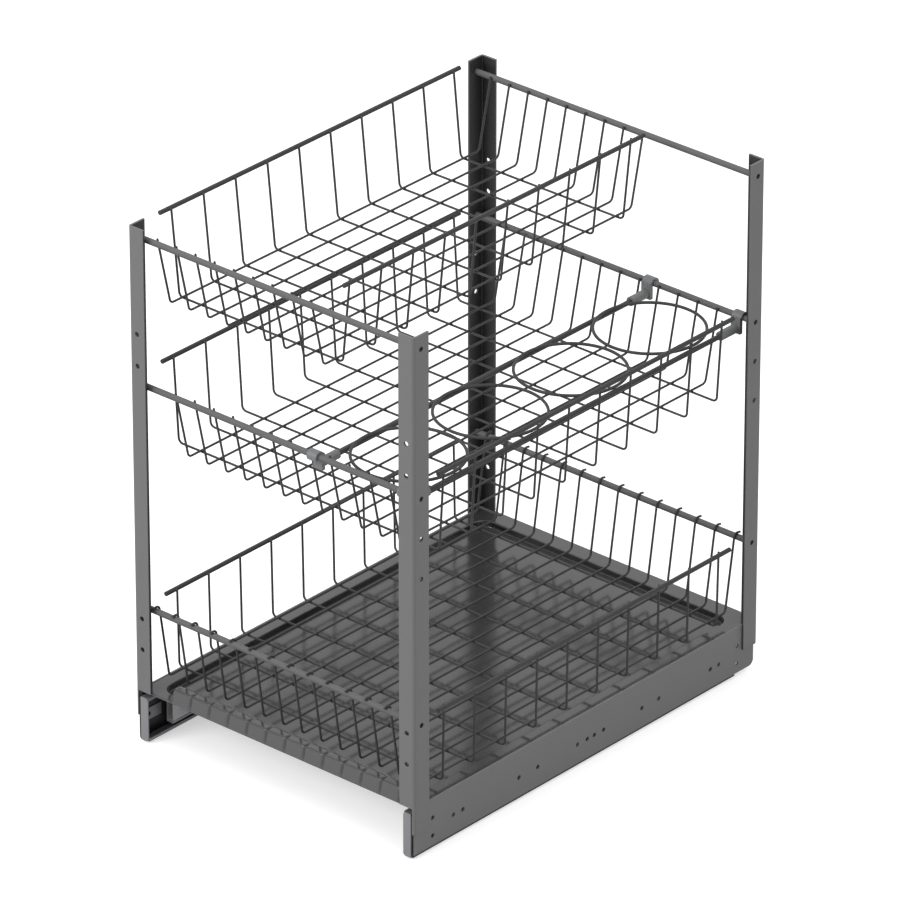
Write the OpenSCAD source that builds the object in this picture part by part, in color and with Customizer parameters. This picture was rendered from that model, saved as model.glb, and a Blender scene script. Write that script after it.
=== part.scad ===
// Pull-out cabinet basket: two side plates and four angle posts carry three wire baskets,
// a bottle rack and a drip tray, and run out of the cabinet on a pair of ball runners.
// Front is -Y, up is +Z, and the origin is on the cabinet floor under the middle of the frame.

/* [Frame] */
// Width over the posts
frame_w = 340; // [320:5:400]
// Depth over the posts
frame_d = 480; // [460:5:520]
// Height of a post top above the lower edge of the side plates
post_h = 520; // [515:5:600]
// Clear height of the side plates above the cabinet floor
floor_gap = 5; // [4:0.5:10]
// Sheet thickness of the posts
post_t = 2; // [1.5:0.5:3]
// Outer bend radius of the posts
post_bend = 3; // [2.5:0.5:4]
// Post flange along the side
post_side = 20; // [18:1:26]
// Post flange across the front or the rear
post_face = 18; // [16:1:20]
// Lower end of the side flange above the side plate's lower edge
side_flange_z = 22; // [10:1:30]
// Lower end of the front flange above the side plate's lower edge
face_flange_z = 48.2; // [48.2:0.1:60]
// Height of the side plates
plate_h = 48; // [47:0.5:48]
// Sheet thickness of the side plates
plate_t = 1.5; // [1:0.25:1.5]
// Radius of the side plate's lower rear corner
plate_corner = 6; // [3:0.5:9]

/* [Holes] */
// Diameter of the holes in the posts
post_hole_d = 5; // [4:0.25:6]
// Distance from the post's corner to its side holes
side_hole_in = 10; // [9:0.5:12]
// Distance from the post's corner to its front holes
face_hole_in = 9; // [8:0.5:10]
// Height of the upper pair of front holes
face_hole_high = 398; // [390:1:410]
// Height of the lower pair of front holes
face_hole_low = 108; // [100:1:115]
// Distance between the two holes of a pair
face_hole_pitch = 32; // [32:1:40]
// Step of the spare shelf holes under the middle rod
spare_hole_pitch = 40; // [30:1:40]
// Diameter of the holes in the side plates
plate_hole_d = 4.5; // [4.5:0.25:5]

/* [Rods and wires] */
// Diameter of the cross rods
rod_d = 6; // [5.5:0.25:6.5]
// Distance of the top cross rods below the post tops
top_rod_drop = 14; // [12:0.5:20]
// Height of the middle cross rods
mid_rod_z = 358.5; // [352:0.5:362]
// Height of the low cross rods
low_rod_z = 131; // [128:0.5:136]
// Diameter of the rods along the basket sides
side_rod_d = 4.5; // [4:0.25:4.5]
// Diameter of the basket wires
wire_d = 2.2; // [1.8:0.1:2.4]
// Centre line radius of the bends in the basket wires
wire_bend = 5; // [4:0.5:7]
// Number of wires across each basket, front to rear
cross_wires = 10; // [8:1:12]

/* [Baskets] */
// Width of the top basket between its side rods
top_w = 221; // [200:1:225]
// Number of wires along the top basket
top_wires = 9; // [7:1:10]
// Number of wires along the middle basket
mid_wires = 12; // [10:1:14]
// Number of wires along the low basket
low_wires = 14; // [12:1:15]
// Distance from the top basket's side rods to its outermost long wires
top_wire_in = 18.3; // [15:0.1:24]
// Distance from the middle basket's side rods to its outermost long wires
mid_wire_in = 37.7; // [36:0.1:42]
// Distance from the low basket's side rods to its outermost long wires
low_wire_in = 13.3; // [10:0.1:20]
// Distance from the middle basket's wire to the rack's clip at its right
clip_wire_gap = 9.7; // [8:0.1:11]
// Distance from the front and rear of a basket's floor to its first cross wire
cross_wire_in = 18.7; // [8:0.1:24]
// Inward lean of the top basket's cross wires, measured at its floor
top_side_lean = 12; // [8:0.5:14]
// Inward lean of the middle basket's cross wires, measured at its floor
mid_side_lean = 8.5; // [6:0.5:12]
// Inward lean of the low basket's cross wires, measured at its floor
low_side_lean = 4.8; // [4:0.2:8]
// Height of the top basket's side rods above the top cross rods
top_side_rise = 14; // [8:0.5:18]
// Height of the middle basket's side rods above the middle cross rods
mid_side_rise = 12.5; // [11:0.5:16]
// Height of the low basket's side rods above the low cross rods
low_side_rise = 2; // [0:0.5:6]
// Distance from the end of a basket's floor to the end of its side rods
side_rod_in = 7; // [4:0.5:12]
// Depth of the top basket below its cross rods
top_deep = 67.3; // [50:0.1:80]
// Depth of the middle basket below its cross rods
mid_deep = 68.6; // [50:0.1:80]
// Depth of the low basket below its cross rods
low_deep = 73.5; // [60:0.1:73.5]
// Inward lean of the front and rear wires, measured at the basket floor
end_lean = 15; // [8:0.5:20]
// Length of the straight tail of a hook
hook_tail = 3; // [1:0.5:3.5]
// Slope of the hook's tail below level, in degrees
hook_slope = 12; // [0:1:20]

/* [Bottle rack] */
// Distance between the two rack rods
rack_w = 107; // [90:1:107]
// Distance from the middle basket's side rod to the outer rack rod
rack_in = 14; // [12:0.5:20]
// Diameter of the rack rods
rack_rod_d = 5; // [4:0.25:5.5]
// Drop of the rack rods below the middle cross rods
rack_drop = 9.5; // [8.5:0.5:12]
// Number of bottle rings
rings = 4; // [2:1:4]
// Centre line radius of a bottle ring
ring_r = 52; // [40:1:52]
// Wire diameter of a bottle ring
ring_wire_d = 3; // [2.5:0.25:3.5]
// Clear space between two bottle rings
ring_gap = 3.5; // [1:0.5:4]
// Width of a clip along the cross rod
clip_w = 11; // [8:0.5:12]
// Wall thickness of a clip
clip_wall = 2.4; // [1.8:0.1:2.6]
// Length of a clip's socket
socket_len = 22; // [14:1:24]

/* [Drip tray] */
// Height of the tray's rim above the side plate's lower edge
tray_rim_z = 47.6; // [46:0.2:48]
// Wall thickness of the tray
tray_t = 1.6; // [1.2:0.1:1.8]
// Width of the rim beside the pan
tray_side_rim = 14; // [12:0.5:20]
// Width of the rim behind the pan
tray_rear_rim = 16; // [12:1:24]
// Depth of the pan below the rim
pan_deep = 9.6; // [6:0.2:9.6]
// Height of the pads above the rim
pad_rise = 6; // [3:0.2:6]
// Height of the front lip above the rim
lip_rise = 12.4; // [9:0.2:13]
// Width of one pad
pad_pitch = 23.6; // [20:0.2:24]
// Number of pads across the front lip
lip_pads = 11; // [7:2:11]
// Radius of the valley between two pads
valley_r = 6; // [5:0.5:8]
// Depth of the valley between two pads
valley_deep = 2.5; // [1:0.1:2.5]

/* [Runners] */
// Height of a runner
runner_h = 45; // [44:0.5:45]
// Height of the runner's middle above the side plate's lower edge
runner_z = 19.5; // [19:0.5:20]
// Sheet thickness of the runner rails
rail_t = 1.2; // [1:0.1:1.2]
// Length of the drawer rail
drawer_rail_len = 450; // [430:5:455]
// Length of the middle rail
mid_rail_len = 400; // [380:5:400]
// Distance from the frame's front to the fixed rail
fixed_rail_setback = 32; // [30:1:40]
// Diameter of the outer row of balls
outer_ball_d = 4; // [3.8:0.05:4]
// Diameter of the inner row of balls
inner_ball_d = 3; // [2.8:0.05:3]
// Number of balls in one row of a cage
balls = 8; // [6:1:10]
// Distance between the balls of a cage
ball_pitch = 24; // [18:1:26]
// Thickness of the floor brackets
bracket_t = 2; // [1.5:0.25:2]
// Width of a floor bracket's foot
foot_w = 30; // [24:1:40]
// Diameter of the screw holes in the feet
foot_hole_d = 4.8; // [4:0.2:6]
// Distance from the frame's front to the floor brackets
bracket_setback = 80; // [60:5:100]
// Distance from the ends of a foot to its screw holes
foot_hole_in = 20; // [12:1:30]

/* [Hidden] */
// Clearances: between welded wires, between seated pieces, between pieces that part or slide
weld_gap = 0.05;
seat_gap = 0.3;
run_gap = 0.4;
eps = 0.01;
// A bend in a wire is this much thinner than the wire and reaches this far into its straight runs
bend_neck = 0.03;
bend_into = 0.2;
$fn = 32;

// Frame
half_w = frame_w / 2;
half_d = frame_d / 2;
plate_out = half_w - post_t;
plate_in = plate_out - plate_t;
plate_front = half_d - post_t;
plate_end_gap = 1;
plate_rear = plate_front - plate_end_gap;
rod_y = half_d - side_hole_in;
rod_half = half_w - post_t;
top_rod_z = post_h - top_rod_drop;
spare_holes = [mid_rod_z - spare_hole_pitch, mid_rod_z - 2 * spare_hole_pitch];
side_holes = concat([low_rod_z, mid_rod_z, top_rod_z], spare_holes);
face_holes = [for (z = [face_hole_low, face_hole_high], s = [-1, 1]) z + s * face_hole_pitch / 2];
// Holes along the side plate, measured from the frame's front, and the first of them that hold rivets
plate_holes = [55, 226, 341, 427, 68, 145, 171, 240, 250, 263, 317, 415];
rivet_count = 4;
plate_pair_in = 27;
plate_pair_z = [10, 28.5];

// Blind bores in the rod ends, behind the holes in the posts
rod_bore_step = 0.4;
rod_bore_d = post_hole_d - 2 * rod_bore_step;
rod_bore_len = 14;

// Baskets
tip_y = rod_y - rod_d / 2 - wire_d / 2 - weld_gap;
tip_rise = 2.5;
floor_y = rod_y - wire_bend - end_lean;
cross_y = floor_y - cross_wire_in;
side_rod_x = plate_out - side_rod_d / 2 - seat_gap / 2;
side_rod_half = floor_y - side_rod_in;
side_tip_in = side_rod_d / 2 + wire_d / 2 + weld_gap;
side_tip_rise = 1;
cross_drop = wire_d + weld_gap;
hook_r = rod_d / 2 + wire_d / 2 + seat_gap;
hook_foot = 4;

// Drip tray
tray_front_gap = 1.5;
tray_rear_gap = 0.5;
tray_x = plate_in - seat_gap;
tray_front = plate_front - tray_front_gap;
tray_rear = plate_front - tray_rear_gap;
rim_top = tray_rim_z;
rim_low = rim_top - tray_t;
pan_x = plate_in - tray_side_rim;
lip_deep = 11;
pan_front = -tray_front + lip_deep;
pan_rear = tray_rear - tray_rear_rim;
pan_floor = rim_top - pan_deep;
pan_corner = 18;
lip_x = lip_pads * pad_pitch / 2;
pad_overhang = 3;
pads_x = lip_x - pad_pitch + pad_overhang;
pads_top = rim_top + pad_rise;
rear_channel = 30;
pads_rear = pan_rear - rear_channel;
lip_top = rim_top + lip_rise;
lip_slope = 3.2;
lip_flat = 4;
lip_back = 24.5;
groove_r = 1.4;

// Runners, measured from the side plate's inner face towards the middle of the frame
runner_t = 12.7;
drawer_flange = 10.5;
lip_t = rail_t;
drawer_lip = 1.8;
mid_web = 2.6;
mid_flange = 10.2;
outer_ball_u = 5.5;
inner_ball_u = 7.6;
outer_ball_v = runner_h / 2 - rail_t - outer_ball_d / 2 - seat_gap + 0.2;
mid_half = outer_ball_v - outer_ball_d / 2 - 0.1;
inner_ball_v = mid_half - rail_t - inner_ball_d / 2 - seat_gap + 0.1;
fixed_half = inner_ball_v - inner_ball_d / 2 - 0.1;
fixed_flange = 5.3;
cage_t = 0.6;
ball_gap = 0.2;
outer_cage_u = rail_t + run_gap;
inner_cage_u = mid_web + rail_t + run_gap;
drawer_setback = 1.7;
drawer_front = -half_d + drawer_setback;
fixed_front = -half_d + fixed_rail_setback;
fixed_rear_gap = 4;
fixed_rear = half_d - fixed_rear_gap;
mid_setback = 2;
mid_front = fixed_front + mid_setback;
cage_half = balls * ball_pitch / 2 - 1;
inner_cage_shift = -6;
tab_t = 1.2;
tab_corner = 3;
band_half = 6;
band_len = 26;
band_t = 0.8;
band_hole_in = 9;
band_hole_d = 5;
bracket_front = -half_d + bracket_setback;
bracket_over = 9;
bracket_top = runner_z + bracket_over;
rail_rivet_d = 4;
rivet_hole_d = rail_rivet_d + 0.2;
front_rivet_in = 6.4;
rear_rivet_in = 24.8;
first_rivet = bracket_front + front_rivet_in;
last_rivet = fixed_rear - rear_rivet_in;
bracket_rivet_places = [first_rivet, (first_rivet + last_rivet) / 2, last_rivet];
foot_hole_share = 0.55;
foot_hole_x = plate_in - runner_t - foot_w * foot_hole_share;

// ---------- helpers ----------

// Lifts what is measured from the side plate's lower edge
module above_floor() {
    translate([0, 0, floor_gap]) children();
}

// Mirrors a right-hand piece to the left for side -1
module on_side(side) {
    mirror([side < 0 ? 1 : 0, 0, 0]) children();
}

// Mirrors a front piece to the rear for end +1
module at_end(end) {
    mirror([0, end > 0 ? 1 : 0, 0]) children();
}

// Box between two corners
module box(low, high) {
    translate(low) cube(high - low);
}

// Round bar along X between two x values
module bar_x(x0, x1, d) {
    translate([x0, 0, 0]) rotate([0, 90, 0]) cylinder(d = d, h = x1 - x0);
}

// Round bar along Y, centred
module bar_y(half, d) {
    rotate([90, 0, 0]) cylinder(d = d, h = 2 * half, center = true);
}

function turn(a, b) = atan2(a[0] * b[1] - a[1] * b[0], a * b);
function unit(v) = v / norm(v);
function left_of(v) = [-v[1], v[0]];
// Length that a bend of radius r takes from each leg at point i
function bend_cut(pts, r, i) = i == 0 || i == len(pts) - 1 ? 0
    : r * tan(abs(turn(pts[i] - pts[i - 1], pts[i + 1] - pts[i])) / 2);

// Bent wire through points in the XY plane, with bend radius radii[i] at point i.
// A bend is drawn a hair thinner than the straight runs and ends just inside them.
module bent_wire(pts, radii, d) {
    for (i = [0 : len(pts) - 2]) {
        dir = unit(pts[i + 1] - pts[i]);
        start = pts[i] + dir * bend_cut(pts, radii[i], i);
        end = pts[i + 1] - dir * bend_cut(pts, radii[i + 1], i + 1);
        translate([start[0], start[1], 0])
            rotate([0, 0, atan2(dir[1], dir[0])])
                rotate([0, 90, 0])
                    cylinder(d = d, h = norm(end - start));
    }
    for (i = [1 : len(pts) - 2]) {
        dir = unit(pts[i] - pts[i - 1]);
        angle = turn(dir, pts[i + 1] - pts[i]);
        side = angle > 0 ? 1 : -1;
        start = pts[i] - dir * bend_cut(pts, radii[i], i);
        centre = start + side * radii[i] * left_of(dir);
        from = atan2(start[1] - centre[1], start[0] - centre[0]);
        into = asin(bend_into / radii[i]);
        translate([centre[0], centre[1], 0])
            rotate([0, 0, min(from, from + angle) - into])
                rotate_extrude(angle = abs(angle) + 2 * into)
                    translate([radii[i], 0]) circle(d = d - bend_neck);
    }
}

// Prism of a section drawn in the XY plane, upright along the depth, from -half to +half across the width
module profile_x(half) {
    translate([-half, 0, 0]) rotate([90, 0, 90]) linear_extrude(2 * half) children();
}

// Puts a wire drawn in the XY plane upright along the depth, at x
module along_depth(x) {
    translate([x, 0, 0]) rotate([90, 0, 90]) children();
}

// Puts a wire drawn in the XY plane upright across the width, at y
module across_width(y) {
    translate([0, y, 0]) rotate([90, 0, 0]) children();
}

// Spreads n places evenly from -half to +half
function spread(n, half) = [for (i = [0 : n - 1]) -half + 2 * half * i / (n - 1)];

// ---------- frame ----------

// Angle post: the corner is at the front right, with the side flange longer downwards
module post(side, end) {
    above_floor()
        on_side(side)
            at_end(end)
                difference() {
                    union() {
                        box([half_w - post_t, -half_d + post_bend, side_flange_z],
                            [half_w, -half_d + post_side, post_h]);
                        box([half_w - post_face, -half_d, face_flange_z],
                            [half_w - post_bend, -half_d + post_t, post_h]);
                        post_corner();
                    }
                    for (z = side_holes)
                        translate([half_w - post_t - 1, -rod_y, z]) bar_x(0, post_t + 2, post_hole_d);
                    for (z = face_holes)
                        translate([half_w - face_hole_in, -half_d + post_t / 2, z])
                            bar_y(post_t, post_hole_d);
                }
}

// Rounded bend between the two flanges of a post
module post_corner() {
    translate([half_w - post_bend, -half_d + post_bend, 0])
        intersection() {
            difference() {
                translate([0, 0, side_flange_z]) cylinder(r = post_bend, h = post_h - side_flange_z);
                translate([0, 0, side_flange_z - 1]) cylinder(r = post_bend - post_t, h = post_h);
            }
            box([0, -post_bend, side_flange_z], [post_bend, 0, post_h]);
        }
}

// Side plate with its row of runner holes and a rounded lower rear corner
module side_plate(side) {
    above_floor()
        on_side(side)
            difference() {
                box([plate_in, -plate_front, 0], [plate_out, plate_rear, plate_h]);
                translate([plate_in - 1, plate_rear - plate_corner, plate_corner])
                    difference() {
                        box([0, 0, -plate_corner - 1], [plate_t + 2, plate_corner + 1, 0]);
                        bar_x(-1, plate_t + 3, 2 * plate_corner);
                    }
                for (y = plate_holes)
                    translate([plate_in - 1, y - half_d, runner_z]) bar_x(0, plate_t + 2, plate_hole_d);
                for (y = [-half_d + plate_pair_in, half_d - plate_pair_in], z = plate_pair_z)
                    translate([plate_in - 1, y, z]) bar_x(0, plate_t + 2, plate_hole_d);
            }
}

// Cross rod between the side flanges, with a blind bore in each end
module cross_rod(z, end) {
    above_floor()
        translate([0, end * rod_y, z])
            difference() {
                bar_x(-rod_half, rod_half, rod_d);
                for (side = [-1, 1])
                    on_side(side) bar_x(rod_half - rod_bore_len, rod_half + 1, rod_bore_d);
            }
}

// ---------- baskets ----------

// Wires along the depth at each x of places: tips behind the cross rods, sloping ends and a flat floor
module long_wires(places, rod_z, deep) {
    pts = [
        [-tip_y, rod_z + tip_rise], [-floor_y, rod_z - deep],
        [floor_y, rod_z - deep], [tip_y, rod_z + tip_rise]
    ];
    for (x = places)
        along_depth(x) bent_wire(pts, [0, wire_bend, wire_bend, 0], wire_d);
}

// Wires along the depth at each x of places, whose ends hook over the cross rods from inside
module hooked_wires(places, rod_z, deep) {
    foot = [floor_y + hook_foot, rod_z - deep];
    rod = [rod_y, rod_z];
    reach = rod - foot;
    rise = atan2(reach[1], reach[0]) + asin(hook_r / norm(reach));
    crown = rod + hook_r / cos((rise + hook_slope) / 2)
        * [cos((rise - hook_slope) / 2 + 90), sin((rise - hook_slope) / 2 + 90)];
    cut = hook_r * tan((rise + hook_slope) / 2);
    tail = crown + (cut + hook_tail) * [cos(hook_slope), -sin(hook_slope)];
    pts = [
        [-tail[0], tail[1]], [-crown[0], crown[1]], [-foot[0], foot[1]],
        foot, crown, tail
    ];
    for (x = places)
        along_depth(x) bent_wire(pts, [0, hook_r, wire_bend, wire_bend, hook_r, 0], wire_d);
}

// Wires across the width, one wire below the long ones, ending at the inner side of the side rods
module cross_wires(centre, half, floor_half, rod_z, floor_z) {
    pts = [
        [-half + side_tip_in, rod_z + side_tip_rise], [-floor_half, floor_z - cross_drop],
        [floor_half, floor_z - cross_drop], [half - side_tip_in, rod_z + side_tip_rise]
    ];
    translate([centre, 0, 0])
        for (y = spread(cross_wires, cross_y))
            across_width(y) bent_wire(pts, [0, wire_bend, wire_bend, 0], wire_d);
}

// Pair of rods along the basket's sides
module side_rods(centre, half, z) {
    for (side = [-1, 1])
        translate([centre + side * half, 0, z]) bar_y(side_rod_half, side_rod_d);
}

// Top basket: part width, at the left
top_half = top_w / 2;
top_centre = -side_rod_x + top_half;
top_side_z = top_rod_z + top_side_rise;
top_floor_z = top_rod_z - top_deep;
// Middle basket: full width, its side rods above the cross rods
mid_half_w = side_rod_x;
mid_side_z = mid_rod_z + mid_side_rise;
mid_floor_z = mid_rod_z - mid_deep;
// Its long wires stand in a row that leaves the rack's left clip between two of them
mid_wire_half = mid_half_w - mid_wire_in;
mid_wire_pitch = 2 * mid_wire_half / (mid_wires - 1);
clip_wire_x = side_rod_x - rack_in - rack_w - clip_wire_gap;
mid_row_start = clip_wire_x - round((clip_wire_x + mid_wire_half) / mid_wire_pitch) * mid_wire_pitch;
// Low basket: full width, lifts off
low_half_w = side_rod_x;
low_side_z = low_rod_z + low_side_rise;
low_floor_z = low_rod_z - low_deep;

module top_basket_long_wires() {
    above_floor()
        long_wires([for (x = spread(top_wires, top_half - top_wire_in)) top_centre + x], top_rod_z, top_deep);
}
module top_basket_cross_wires() {
    above_floor() cross_wires(top_centre, top_half, top_half - top_side_lean, top_side_z, top_floor_z);
}
module top_basket_side_rods() {
    above_floor() side_rods(top_centre, top_half, top_side_z);
}
module middle_basket_long_wires() {
    above_floor()
        long_wires([for (i = [0 : mid_wires - 1]) mid_row_start + i * mid_wire_pitch], mid_rod_z, mid_deep);
}
module middle_basket_cross_wires() {
    above_floor() cross_wires(0, mid_half_w, mid_half_w - mid_side_lean, mid_side_z, mid_floor_z);
}
module middle_basket_side_rods() {
    above_floor() side_rods(0, mid_half_w, mid_side_z);
}
module low_basket_long_wires() {
    above_floor() hooked_wires(spread(low_wires, low_half_w - low_wire_in), low_rod_z, low_deep);
}
module low_basket_cross_wires() {
    above_floor() cross_wires(0, low_half_w, low_half_w - low_side_lean, low_side_z, low_floor_z);
}
module low_basket_side_rods() {
    above_floor() side_rods(0, low_half_w, low_side_z);
}

// ---------- bottle rack ----------

rack_x = side_rod_x - rack_in - rack_w / 2;
rack_z = mid_rod_z - rack_drop;
ring_z = rack_z + rack_rod_d / 2 + ring_wire_d / 2 + weld_gap;
rack_bore_d = rack_rod_d + 2 * weld_gap;
socket_thin = 0.4;
socket_d = rack_bore_d + 2 * (clip_wall - socket_thin);
saddle_r = rod_d / 2 + seat_gap;
saddle_slot = rod_d / 2 + seat_gap / 2;
clip_thick = 1.2;
clip_body = saddle_r + clip_wall + clip_thick;
clip_foot = 0.6;
clip_shoulder = 2;
socket_end = 4;
socket_y = rod_y - clip_body;
rack_rod_half = socket_y - socket_end;
ring_step = 2 * ring_r + ring_wire_d + ring_gap;

module rack_rods() {
    above_floor()
        for (side = [-1, 1])
            translate([rack_x + side * rack_w / 2, 0, rack_z]) bar_y(rack_rod_half, rack_rod_d);
}

// Bottle ring number i from the front, lying on the rack rods
module bottle_ring(i) {
    above_floor()
        translate([rack_x, (i - (rings - 1) / 2) * ring_step, ring_z])
            rotate_extrude($fn = 64)
                translate([ring_r, 0]) circle(d = ring_wire_d);
}

// Clip: a saddle open downwards sits on the cross rod, and a socket below it holds the rack rod
module rack_clip(side, end) {
    above_floor()
        translate([rack_x + side * rack_w / 2, 0, 0])
            at_end(end)
                difference() {
                    union() {
                        translate([0, -rod_y, mid_rod_z]) profile_x(clip_w / 2) clip_section();
                        translate([0, -socket_y + (socket_len - clip_wall) / 2, rack_z])
                            bar_y((socket_len + clip_wall) / 2, socket_d);
                    }
                    translate([0, -rack_rod_half + socket_len, rack_z]) bar_y(socket_len, rack_bore_d);
                }
}

// Section of a clip's saddle and body, the middle of the cross rod at the origin, inwards to the right
module clip_section() {
    difference() {
        union() {
            circle(r = saddle_r + clip_wall);
            translate([saddle_slot, -rack_drop - socket_d / 2 - clip_foot])
                square([clip_body - saddle_slot, rack_drop + socket_d / 2 + clip_foot + clip_shoulder]);
        }
        circle(r = saddle_r);
        translate([-saddle_slot, -rack_drop - socket_d]) square([2 * saddle_slot, rack_drop + socket_d]);
        translate([-saddle_r - 2 * clip_wall, -saddle_r - rack_drop])
            square([saddle_r + 2 * clip_wall, rack_drop]);
    }
}

// ---------- drip tray ----------

// Outline of the pan, seen from above, grown by g: its four corners are cut off
function pan_outline(g) = [
    [-pan_x - g, pan_front + pan_corner - g / 2], [-pan_x + pan_corner - g / 2, pan_front - g],
    [pan_x - pan_corner + g / 2, pan_front - g], [pan_x + g, pan_front + pan_corner - g / 2],
    [pan_x + g, pan_rear - pan_corner + g / 2], [pan_x - pan_corner + g / 2, pan_rear + g],
    [-pan_x + pan_corner - g / 2, pan_rear + g], [-pan_x - g, pan_rear - pan_corner + g / 2]
];

module pan_prism(g, z0, z1) {
    translate([0, 0, z0]) linear_extrude(z1 - z0) polygon(pan_outline(g));
}

// Front lip, seen from the side: a steep face, a short flat and a long slope down to the pads
lip_outline = [
    [-tray_front, rim_low], [-tray_front, rim_top], [-tray_front + lip_slope, lip_top],
    [-tray_front + lip_slope + lip_flat, lip_top], [-tray_front + lip_back, pads_top],
    [-tray_front + lip_back, rim_low]
];

// Pads and lip as one raised block, before the valleys are cut
module pads_block() {
    box([-pads_x, -tray_front + lip_back - eps, pan_floor - tray_t], [pads_x, pads_rear, pads_top]);
    profile_x(pads_x) polygon(lip_outline);
    intersection() {
        profile_x(lip_x) polygon(lip_outline);
        box([-lip_x, -tray_front, rim_low], [lip_x, pan_front + tray_t, lip_top]);
    }
}

// Space under the pads and the lip
module pads_hollow() {
    hollow_top = pads_top - valley_deep - tray_t;
    box([-pads_x + tray_t, -tray_front + lip_back, pan_floor - 2 * tray_t],
        [pads_x - tray_t, pads_rear - tray_t, hollow_top]);
    box([-pads_x + tray_t, pan_front + tray_t, pan_floor - 2 * tray_t],
        [pads_x - tray_t, -tray_front + lip_back + eps, hollow_top]);
    box([-lip_x + tray_t, -tray_front + lip_slope + tray_t, rim_low - 1],
        [lip_x - tray_t, pan_front, hollow_top]);
}

module drip_tray() {
    valley_y = (pads_rear + 1 + pan_front) / 2;
    color("dimgray")
        above_floor()
            difference() {
                union() {
                    box([-tray_x, -tray_front, rim_low], [tray_x, tray_rear, rim_top]);
                    for (side = [-1, 1])
                        on_side(side)
                            box([tray_x - tray_t, -tray_front, runner_z + runner_h / 2],
                                [tray_x, tray_rear, rim_top]);
                    pan_prism(tray_t, pan_floor - tray_t, rim_top);
                    pads_block();
                }
                difference() {
                    pan_prism(0, pan_floor, rim_top + 1);
                    pads_block();
                }
                pads_hollow();
                for (i = [0 : lip_pads])
                    translate([-lip_x + i * pad_pitch, -tray_front, rim_top])
                        rotate([-atan2(lip_slope, lip_rise), 0, 0])
                            cylinder(r = groove_r, h = lip_rise + 3, $fn = 24);
                for (i = [1 : lip_pads - 1])
                    translate([-lip_x + i * pad_pitch, valley_y, pads_top + valley_r - valley_deep])
                        bar_y(pads_rear + 1 - valley_y, 2 * valley_r);
            }
}

// ---------- runners ----------

// Runner space on one side: X runs from the plate's inner face to the middle, Z from the runner's middle
module runner_space(side) {
    above_floor()
        on_side(side)
            translate([plate_in, 0, runner_z])
                mirror([1, 0, 0]) children();
}

// Channel rail: web from u0, two flanges reaching to u1, half as high as given
module channel(u0, u1, half, y0, y1, web_at_u0 = true) {
    web = web_at_u0 ? u0 : u1 - rail_t;
    box([web, y0, -half], [web + rail_t, y1, half]);
    for (s = [0, 1])
        mirror([0, 0, s]) box([u0, y0, half - rail_t], [u1, y1, half]);
}

// Ball races along the length, above and below
module races(u, v, d, y0, y1) {
    for (s = [-1, 1])
        translate([u, (y0 + y1) / 2, s * v]) bar_y((y1 - y0) / 2 + 1, d + 2 * seat_gap);
}

// Drawer rail: the wide channel on the side plate, with a rounded tab across its front end
module drawer_rail(side) {
    front = drawer_front;
    rear = drawer_front + drawer_rail_len;
    half = runner_h / 2;
    runner_space(side)
        difference() {
            union() {
                channel(0, drawer_flange, half, front, rear);
                for (s = [0, 1])
                    mirror([0, 0, s])
                        box([drawer_flange - lip_t, front, half - rail_t - drawer_lip],
                            [drawer_flange, rear, half]);
                end_tab(front, half);
                box([0, front, -band_half], [rail_t + band_t, front + band_len, band_half]);
            }
            races(outer_ball_u, outer_ball_v, outer_ball_d, front + band_len, rear);
            translate([-1, front + band_hole_in, 0]) bar_x(0, 4, band_hole_d);
            for (i = [0 : rivet_count - 1])
                translate([-1, plate_holes[i] - half_d, 0]) bar_x(0, rail_t + 2, rivet_hole_d);
        }
}

// Front end tab of the drawer rail, its corners rounded
module end_tab(front, half) {
    r = tab_corner;
    box([0, front - tab_t, -half + r], [drawer_flange, front + eps, half - r]);
    box([r, front - tab_t, -half], [drawer_flange - r, front + eps, half]);
    for (u = [r, drawer_flange - r], v = [-half + r, half - r])
        translate([u, front - tab_t / 2, v]) bar_y(tab_t / 2, 2 * r);
}

// Middle rail: a channel between the two rows of balls
module middle_rail(side) {
    runner_space(side)
        difference() {
            channel(mid_web, mid_flange, mid_half, mid_front, mid_front + mid_rail_len);
            races(outer_ball_u, outer_ball_v, outer_ball_d, mid_front, mid_front + mid_rail_len);
            races(inner_ball_u, inner_ball_v, inner_ball_d, mid_front, mid_front + mid_rail_len);
        }
}

// Fixed rail: the narrow channel riveted to the floor bracket
module fixed_rail(side) {
    runner_space(side)
        difference() {
            channel(fixed_flange, runner_t, fixed_half, fixed_front, fixed_rear, false);
            races(inner_ball_u, inner_ball_v, inner_ball_d, fixed_front, fixed_rear);
            for (y = bracket_rivet_places)
                translate([runner_t - rail_t - 1, y, 0]) bar_x(0, rail_t + 2, rivet_hole_d);
        }
}

// Places of the balls in one row
function ball_places(shift) = [for (i = [0 : balls - 1]) shift + (i - (balls - 1) / 2) * ball_pitch];

// Ball cage: a thin channel with a round hole for each ball
module ball_cage(side, u0, u1, u, v, d, shift) {
    runner_space(side)
        difference() {
            union() {
                box([u0, shift - cage_half, -v - cage_t / 2],
                    [u0 + cage_t, shift + cage_half, v + cage_t / 2]);
                for (s = [-1, 1])
                    box([u0, shift - cage_half, s * v - cage_t / 2],
                        [u1, shift + cage_half, s * v + cage_t / 2]);
            }
            for (y = ball_places(shift), s = [-1, 1])
                translate([u, y, s * v]) cylinder(d = d + 2 * ball_gap, h = 4 * cage_t, center = true);
        }
}

module ball_rows(side, u, v, d, shift) {
    runner_space(side)
        for (y = ball_places(shift), s = [-1, 1])
            translate([u, y, s * v]) sphere(d = d);
}

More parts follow.
